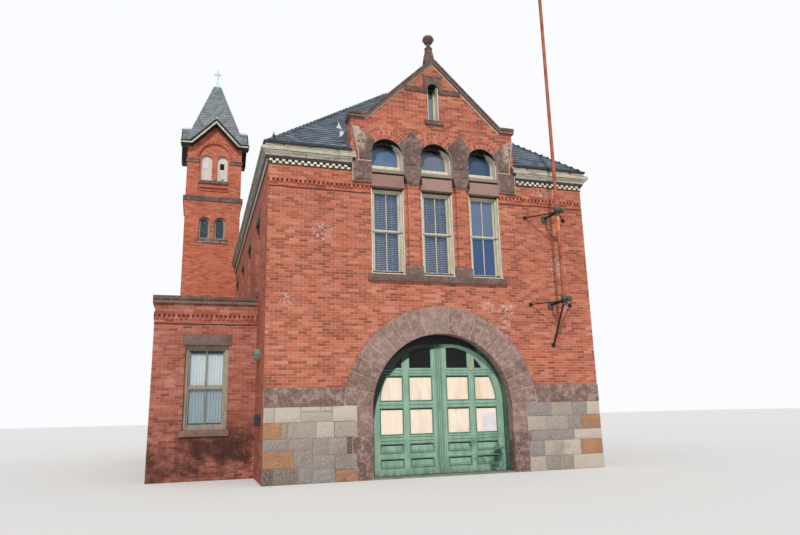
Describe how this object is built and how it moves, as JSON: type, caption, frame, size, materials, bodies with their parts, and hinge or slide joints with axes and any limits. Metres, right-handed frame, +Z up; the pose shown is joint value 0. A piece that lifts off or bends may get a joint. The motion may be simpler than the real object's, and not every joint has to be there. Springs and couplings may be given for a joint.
{
  "type": "fire station building",
  "caption": "Brick fire station with an arched stone doorway and swinging doors, a gabled front, hip roof, one-storey wing, hose tower and signal mast.",
  "frame": {"origin": "on the ground under the middle of the doorway, in the plane of the front wall's outer face", "axes": "+X to the right of a person facing the front, +Y into the building, +Z up"},
  "size_m": [10.975, 16.9398, 16.65],
  "materials": {
    "brick": "matte fired brick in lime mortar",
    "brownstone": "rough",
    "granite": "rough coursed blocks",
    "slate": "matte",
    "cream_paint": "weathered gloss paint",
    "green_paint": "satin paint",
    "plywood": "bare",
    "pale_board": "painted",
    "floor": "screed",
    "glass": "clear",
    "iron": "painted black",
    "mast_paint": "weathered red paint",
    "copper": "verdigris",
    "roofing": "mineral felt"
  },
  "bodies": {
    "building": {"floors": "floor", "door_arch": "brownstone", "door_frame": "green_paint", "frame_hinges": "iron", "front_wall_left": "brick", "front_wall_right": "brick", "front_wall_upper": "brick", "base_stones": "granite", "belt_course": "brownstone", "gable_wall": "brick", "spandrel_stones": "brownstone", "gable_stones": "brownstone", "stone_copings": "brownstone", "gable_finial": "brownstone", "front_window_frames": "cream_paint", "front_window_glass": "glass", "front_window_stones": "brownstone", "left_wall": "brick", "right_wall": "brick", "rear_wall": "brick", "cornices": "cream_paint", "main_roof": "slate", "gable_roof": "slate", "annex_walls": "brick", "annex_roof": "roofing", "tower_spire": "slate", "tower_shaft": "brick", "tower_belfry": "brick", "tower_stones": "brownstone", "tower_boards": "pale_board", "tower_roof": "slate", "tower_finial": "copper", "wall_window_stones": "brownstone", "wall_window_frames": "cream_paint", "wall_window_glass": "glass", "mast": "mast_paint", "mast_brackets": "iron"},
    "left_door": {"left_door_leaf": "green_paint", "left_door_boards": "plywood", "left_door_glass": "glass", "left_door_hinges": "iron"},
    "right_door": {"right_door_leaf": "green_paint", "right_door_boards": "plywood", "right_door_glass": "glass", "right_door_hinges": "iron"}
  },
  "joints": [
    {"name": "left_door_swing", "type": "hinge", "parent": "building", "child": "left_door", "pos_m": [-1.672, 0.384, 0.075], "axis": [0, 0, 1], "range_deg": [0, 90]},
    {"name": "right_door_swing", "type": "hinge", "parent": "building", "child": "right_door", "pos_m": [1.672, 0.384, 0.075], "axis": [0, 0, -1], "range_deg": [0, 90]}
  ]
}
